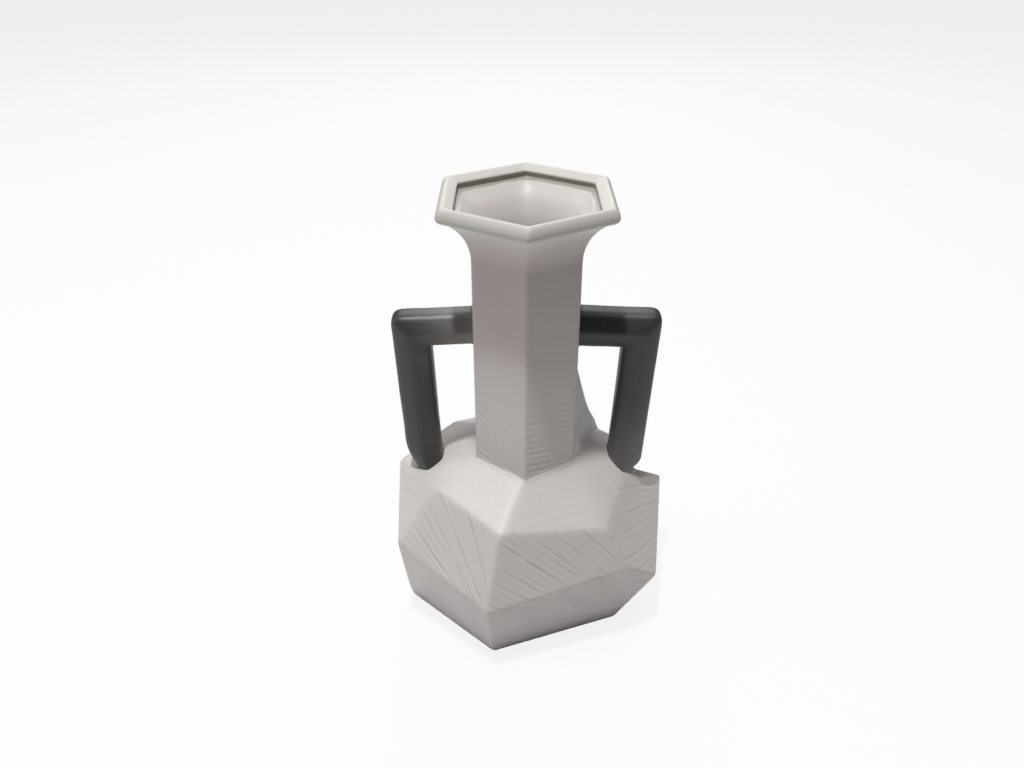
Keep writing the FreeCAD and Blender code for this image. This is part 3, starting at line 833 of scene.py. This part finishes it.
class Finish(NodeTree):
    """A material with one shader."""

    def __init__(self, name):
        self.material = bpy.data.materials.new(name)
        self.material.use_nodes = True
        super().__init__(self.material.node_tree)
        self.shader = self.tree.nodes["Principled BSDF"]
        self.place = self.node("ShaderNodeTexCoord", {}, {}).outputs["Object"]

    def noise(self, scale, detail, roughness):
        """Noise from 0 to 1 with that many swells to the metre."""
        made = self.node("ShaderNodeTexNoise", {}, {"Vector": self.place, "Scale": scale,
                                                    "Detail": detail, "Roughness": roughness})
        return Value(self.tree, made.outputs["Fac"])

    def dot(self, vector):
        """How far a point lies along a vector, in millimetres."""
        made = self.node("ShaderNodeVectorMath", {"operation": "DOT_PRODUCT"},
                         {0: self.place, 1: tuple(float(part) / MM for part in vector)})
        return Value(self.tree, made.outputs["Value"])

    def between(self, value, low, high):
        """0 where the value is low, 1 where it is high, smooth between."""
        made = self.node("ShaderNodeMapRange", {"interpolation_type": "SMOOTHSTEP"},
                         {"Value": value, "From Min": low, "From Max": high})
        return Value(self.tree, made.outputs[0])

    def mix(self, factor, first, second):
        """Colour that goes from first to second as factor goes from 0 to 1."""
        made = self.node("ShaderNodeMix", {"data_type": "RGBA"}, {0: factor, 6: first, 7: second})
        return made.outputs[2]

    def set(self, name, value):
        """Fills or links one socket of the shader."""
        feed(self.tree, self.shader.inputs[name], value)

    def seen_pale(self, share):
        """Lets the camera see that share of plain white mixed into the surface."""
        path = self.node("ShaderNodeLightPath", {}, {})
        factor = Value(self.tree, path.outputs["Is Camera Ray"]) * share
        white = self.node("ShaderNodeEmission", {}, {"Color": WHITE, "Strength": 1.0})
        blend = self.node("ShaderNodeMixShader", {},
                          {0: factor, 1: self.shader.outputs[0], 2: white.outputs[0]})
        out = self.tree.nodes["Material Output"]
        self.tree.links.new(blend.outputs[0], out.inputs["Surface"])

    def bump(self, value, strength, distance):
        """Relief too fine for the mesh."""
        made = self.node("ShaderNodeBump", {}, {"Height": value, "Strength": strength,
                                                "Distance": distance})
        self.set("Normal", made.outputs["Normal"])


print("finishes read Object coordinates, in millimetres")


# %% [markdown]
# Close up, each stroke has a crisp bottom that is finer than the mesh, and level rings run round
# the feet. A finer mesh would show them too, but it would pass the limit for a piece. So the
# glaze works out the same strokes once more as bump, from the same numbers: the height above
# each plane tells which facet a point is on, and the count of strokes comes from its angle at
# the fan's spot. Points off the belly's outer skin get none.

# %% Fine strokes in the glaze
FINE_DEPTHS = [0.32, 0.29, 0.19, 0.22, 0.26, 0.26, 0.26, 0.20, 0.12]
FINE_OWN, FINE_SWING = 0.66, 0.34
FINE_HALF_WIDTH = 0.36
RING_PITCH, RING_DEPTH, RING_HALF_WIDTH = 2.2, 0.22, 0.45
FACET_EDGE = (-0.45, -0.05)
SKIN_INNER, SKIN_OUTER = (-1.7, -1.1), (0.3, 0.7)
UP = (0.0, 0.0, 1.0)


def largest(values):
    """The largest of several values."""
    top = values[0]
    for value in values[1:]:
        top = top.then("MAXIMUM", value)
    return top


def valley(finish, count, half_width):
    """1 where the count is a whole number, and 0 beyond half_width of it."""
    return 1.0 - finish.between(count.then("PINGPONG", 0.5), 0.0, half_width)


def flank_valleys(finish, facet, bend):
    """Valleys of one facet's strokes, each with its own depth from 0 to 1."""
    along, across = stroke_axes(facet)
    ahead = float(facet["fan"] + facet["place"] @ along) - finish.dot(along)
    sideways = finish.dot(across) - float(facet["place"] @ across)
    count = sideways.then("ARCTAN2", ahead) * (facet["fan"] / facet["pitch"]) + bend
    own = FINE_OWN + FINE_SWING * (STROKE_BEAT * count.then("ROUND")).then("SINE")
    return valley(finish, count, FINE_HALF_WIDTH) * own


def stroke_relief(finish):
    """Depth of the strokes and rings in millimetres."""
    heights = [finish.dot(normal) - float(offset) for normal, offset in zip(normals, offsets)]
    highest = largest(heights)
    bend = 0.0
    for amount, wave, start in STROKE_BENDS:
        bend = bend + amount * (finish.dot(wave) + start).then("SINE")
    relief = 0.0
    for number, depth in enumerate(FINE_DEPTHS, len(SHOULDERS)):
        on_facet = finish.between(heights[number] - highest, *FACET_EDGE)
        relief = relief + flank_valleys(finish, facets[number], bend) * on_facet * depth
    feet = largest(heights[len(SHOULDERS) + len(FLANKS):-1])
    rings = valley(finish, finish.dot(UP) * (1.0 / RING_PITCH) + bend, RING_HALF_WIDTH)
    relief = relief + rings * finish.between(feet - highest, *FACET_EDGE) * RING_DEPTH
    on_skin = finish.between(highest, *SKIN_INNER) * (1.0 - finish.between(highest, *SKIN_OUTER))
    return relief * on_skin


print("fine strokes on", len(FINE_DEPTHS), "flanks, rings every", RING_PITCH, "mm on the feet")


# %% [markdown]
# Some places of the pale glaze take another colour. The upper neck is a little redder and
# darker, and the darkening is painted shade where the lip's shadow falls. The lip is a shade
# darker. A grey oval on the flank under the chip is a painted shadow, and the dark band in the
# groove inside the lip is painted shade under its overhang. Vertex colours or a painted map
# could say where, but they would be as coarse as the mesh or the map. Each zone is a formula of
# the place: a height, a distance from the axis across the hexagon, or an oval on one flank.

# %% Zones of the pale glaze
ROSE_FADES_IN, ROSE_FADES_OUT, ROSE_OUTSIDE = (135.0, 190.0), (226.0, 240.0), (23.0, 25.5)
LIP_FADES_IN = (239.0, 244.0)
SPOT_PLACE = np.array([71.5, 3.3, 80.3])
SPOT_AXES = [(np.array([0.659, 0.577, -0.488]), 13.5), (np.array([-0.068, 0.690, 0.724]), 7.6)]
SPOT_EDGE, SPOT_HEIGHT = (0.72, 1.08), (60.0, 66.0)
GROOVE_LOW, GROOVE_HIGH, GROOVE_INSIDE = (243.3, 243.7), (246.6, 247.3), (35.8, 36.4)
GROOVE_WANDER = 0.9


def hexagon_reach(finish):
    """Distance from the axis across the neck's hexagon, in millimetres."""
    flats = [finish.dot((x, y, 0.0)).then("ABSOLUTE") for x, y in neck_normals[:3]]
    return largest(flats)


def neck_rose_and_shade_zone(finish, high, hexagon):
    """1 on the outside of the upper neck, reddened and given painted shade, 0 elsewhere."""
    zone = finish.between(high, *ROSE_FADES_IN) * (1.0 - finish.between(high, *ROSE_FADES_OUT))
    return zone * finish.between(hexagon, *ROSE_OUTSIDE)


def painted_shadow_zone(finish, high):
    """1 in the oval of painted shadow on the flank below the chip, 0 elsewhere."""
    square = 0.0
    for axis, half in SPOT_AXES:
        part = (finish.dot(axis) - float(SPOT_PLACE @ axis)) * (1.0 / half)
        square = square + part * part
    return (1.0 - finish.between(square, *SPOT_EDGE)) * finish.between(high, *SPOT_HEIGHT)


def groove_shade_zone(finish, high, hexagon):
    """1 in the groove's painted shade inside the lip, 0 elsewhere, its edge wandering a little.
    """
    level = high + GROOVE_WANDER * (finish.noise(70.0, 1.0, 0.5) - 0.5)
    zone = finish.between(level, *GROOVE_LOW) * (1.0 - finish.between(level, *GROOVE_HIGH))
    return zone * (1.0 - finish.between(hexagon, *GROOVE_INSIDE))


print("zones: upper neck, lip, spot and groove")


# %% [markdown]
# The pale glaze is a warm grey white, satin rather than glossy, with the faint clouding of a
# glaze that was poured. Towards the foot it is a little cooler, a painted reflection of cool
# surroundings on the low facets. It darkens in the stroke valleys, partly where glaze pools
# there and partly as painted shade. Clay seen through glaze could be a second shader layer, but
# at arm's length only its colour shows, so one shader does. Fine ripple and a grain like orange
# peel are bump, because they are finer than the mesh.

# %% Pale glaze
WARM = ((0.612, 0.583, 0.559, 1.0), (0.653, 0.627, 0.604, 1.0))
# The cool pair is a painted reflection: the tint that cool surroundings give the low facets.
COOL_REFLECTED = ((0.612, 0.572, 0.582, 1.0), (0.656, 0.620, 0.630, 1.0))
REFLECTED_TO_WARM = (6.0, 48.0)
# The rose colour is redder and darker than the glaze; its darkening is painted shade where the
# lip's shadow falls on the upper neck.
ROSE_AND_SHADE = (0.560, 0.492, 0.478, 1.0)
LIP_GREY = (0.545, 0.526, 0.494, 1.0)
# The spot grey is a painted shadow on the flank below the chip.
PAINTED_SHADOW_GREY = (0.450, 0.421, 0.412, 1.0)
# The stroke grey darkens the stroke valleys: partly glaze that pools there, partly painted shade.
POOLED_AND_SHADED_GREY = (0.40, 0.38, 0.36, 1.0)
# The groove grey is painted shade under the lip's overhang.
GROOVE_SHADE_GREY = (0.30, 0.285, 0.25, 1.0)
SKIP = (0.30, 0.68)
PEEL_HEIGHT = 0.06


def pale_glaze():
    """Satin warm grey glaze with clouds, zones, strokes and a fine peel."""
    finish = Finish("pale_glaze")
    skip = finish.between(finish.noise(85.0, 2.0, 0.5), *SKIP)
    relief = stroke_relief(finish) * (0.15 + skip)
    cloud = finish.noise(28.0, 4.0, 0.55)
    peel = finish.noise(160.0, 3.0, 0.5) * 0.8 + finish.noise(900.0, 2.0, 0.6) * 0.2
    high, hexagon = finish.dot(UP), hexagon_reach(finish)
    # Cooler towards the foot: painted reflection.
    colour = finish.mix(finish.between(high, *REFLECTED_TO_WARM),
                        finish.mix(cloud, *COOL_REFLECTED), finish.mix(cloud, *WARM))
    # Upper neck: redder, and darker with painted shade from the lip.
    colour = finish.mix(neck_rose_and_shade_zone(finish, high, hexagon) * (0.6 + 0.5 * cloud), colour, ROSE_AND_SHADE)
    colour = finish.mix(finish.between(high, *LIP_FADES_IN), colour, LIP_GREY)
    # Painted shadow below the chip.
    colour = finish.mix(painted_shadow_zone(finish, high), colour, PAINTED_SHADOW_GREY)
    # Stroke valleys: pooled glaze and painted shade.
    colour = finish.mix(relief * 0.8, colour, POOLED_AND_SHADED_GREY)
    # Painted shade in the groove inside the lip.
    colour = finish.mix(groove_shade_zone(finish, high, hexagon) * 0.8, colour, GROOVE_SHADE_GREY)
    finish.set("Base Color", colour)
    finish.set("Roughness", 0.38 + 0.12 * cloud)
    finish.set("Specular IOR Level", 0.42)
    finish.bump(peel * PEEL_HEIGHT - relief, 1.0, MM)
    return finish.material


pale = pale_glaze()
print("pale glaze:", len(pale.node_tree.nodes), "nodes")


# %% [markdown]
# The handles wear a near-black glaze. It is satin too, broken by faint brushed clouds, and it
# is greyer in two places: on the left arm towards the neck, and low on the right upright. On the
# arm, near the neck, part of that is painted light that lifts the shadow the lip throws there.
# Those two places could be patches of a second material, but their edges are soft, so one
# colour fades into the other by place.

# %% Dark glaze
BLACK = ((0.030, 0.029, 0.028, 1.0), (0.056, 0.054, 0.053, 1.0))
# The paler grey marks the left arm towards the neck, where part of it is painted light over the
# lip's shadow, and the low right upright.
PALER_GREY = (0.19, 0.18, 0.174, 1.0)
ARM_FADES_IN, ARM_FADES_OUT, ARM_ABOVE = (-62.0, -26.0), (-15.0, 0.0), (150.0, 166.0)
RIGHT_SIDE, FOOT_BELOW, FOOT_GREYING = (0.0, 20.0), (92.0, 142.0), 0.62


def dark_glaze():
    """Satin near-black glaze with clouds and two greyer places."""
    finish = Finish("dark_glaze")
    cloud = finish.noise(42.0, 4.0, 0.6)
    grain = finish.noise(700.0, 2.0, 0.6)
    side, high = finish.dot((1.0, 0.0, 0.0)), finish.dot(UP)
    # Near the neck the arm's paler grey is partly painted light over the lip's shadow.
    arm = finish.between(side, *ARM_FADES_IN) * (1.0 - finish.between(side, *ARM_FADES_OUT))
    arm = arm * finish.between(high, *ARM_ABOVE)
    foot = finish.between(side, *RIGHT_SIDE) * (1.0 - finish.between(high, *FOOT_BELOW))
    colour = finish.mix(arm + FOOT_GREYING * foot, finish.mix(cloud, *BLACK), PALER_GREY)
    finish.set("Base Color", colour)
    finish.set("Roughness", 0.34 + 0.16 * cloud)
    finish.set("Specular IOR Level", 0.5)
    finish.bump(grain * 0.4 + cloud * 0.6, 0.3, 0.2 * MM)
    return finish.material


dark = dark_glaze()
print("dark glaze:", len(dark.node_tree.nodes), "nodes")


# %% [markdown]
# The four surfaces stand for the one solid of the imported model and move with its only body.
# They could be joined into one mesh, but apart they keep their own materials and stay small.

# %% Dress the pieces
pieces = [(belly, pale, "glaze"), (neck, pale, "glaze"),
          (handles[0], dark, "handle_glaze"), (handles[1], dark, "handle_glaze")]
for piece, material, slot in pieces:
    piece.data.materials.append(material)
    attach(piece, "root")
    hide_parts("vase")
    print(piece.name, "wears", material.name)


# %% [markdown]
# The vase stands on a plain white sheet. A curved backdrop is usual in a studio, but it would
# show from behind, so the sheet is flat and wide. Its colour is what it bounces up at the vase.
# The camera sees it paler than it is lit, and the shadow on it stays.

# %% Floor
FLOOR_HALF = 3.0
FLOOR_COLOUR = (0.80, 0.80, 0.80, 1.0)
FLOOR_PALENESS = 0.85

floor_mesh = bpy.data.meshes.new("floor")
corners = [(-FLOOR_HALF, -FLOOR_HALF, 0.0), (FLOOR_HALF, -FLOOR_HALF, 0.0),
           (FLOOR_HALF, FLOOR_HALF, 0.0), (-FLOOR_HALF, FLOOR_HALF, 0.0)]
floor_mesh.from_pydata(corners, [], [(0, 1, 2, 3)])
floor = bpy.data.objects.new("floor", floor_mesh)
scene.collection.objects.link(floor)
floor_finish = Finish("floor")
floor_finish.set("Base Color", FLOOR_COLOUR)
floor_finish.set("Roughness", 0.9)
floor_finish.set("Specular IOR Level", 0.0)
floor_finish.seen_pale(FLOOR_PALENESS)
floor_mesh.materials.append(floor_finish.material)
print("floor:", 2.0 * FLOOR_HALF, "m square")


# %% [markdown]
# The surroundings are white to the camera, and give no light. A sky that lit the vase would be
# simpler, but it would fill every shadow, so all the light comes from lamps.

# %% Surroundings
world = bpy.data.worlds.new("surroundings")
scene.world = world
world.use_nodes = True
world.node_tree.nodes.clear()
sky = NodeTree(world.node_tree)
rays = sky.node("ShaderNodeLightPath", {}, {})
camera_ray, through_ray = [Value(sky.tree, rays.outputs[name])
                           for name in ("Is Camera Ray", "Is Transmission Ray")]
unlit = sky.node("ShaderNodeBackground", {}, {"Color": WHITE, "Strength": 0.0})
plain = sky.node("ShaderNodeBackground", {}, {"Color": WHITE, "Strength": 1.0})
blend = sky.node("ShaderNodeMixShader", {}, {0: camera_ray.then("MAXIMUM", through_ray),
                                             1: unlit.outputs[0], 2: plain.outputs[0]})
sky.node("ShaderNodeOutputWorld", {}, {"Surface": blend.outputs[0]})
print("surroundings:", len(sky.tree.nodes), "nodes")


# %% [markdown]
# A small lamp high up in front on the left draws the shadows of the lip and the handles. Three
# wide soft ones, above, on the left and behind, do the rest. Sun lamps would be simpler, but
# their light falls on every height alike, and here it fades a little downwards.
#
# For each lamp: turn, lean, distance from the point they all aim at, size and power.

# %% Lamps
LAMPS = {"lamp": (-116.3, 77.5, 1.6, 0.085, 16.0),
         "soft_top": (0.0, 90.0, 1.8, 2.0, 15.3),
         "soft_left": (180.0, 25.0, 1.6, 1.2, 5.4),
         "soft_back": (90.0, 35.0, 1.6, 1.2, 8.1)}
AIM = np.array([0.0, 0.0, 0.1])

for name, (turn, lean, distance, size, power) in LAMPS.items():
    lamp = bpy.data.objects.new(name, bpy.data.lights.new(name, "AREA"))
    scene.collection.objects.link(lamp)
    lamp.data.shape = "DISK"
    lamp.data.size = size
    lamp.data.energy = power
    lamp.location = (AIM + facet_axes(turn, lean)[0] * distance).tolist()
    lamp.rotation_euler = (math.radians(90.0 - lean), 0.0, math.radians(turn + 90.0))
print(len(LAMPS), "lamps,", round(sum(row[-1] for row in LAMPS.values()), 1), "watts in all")
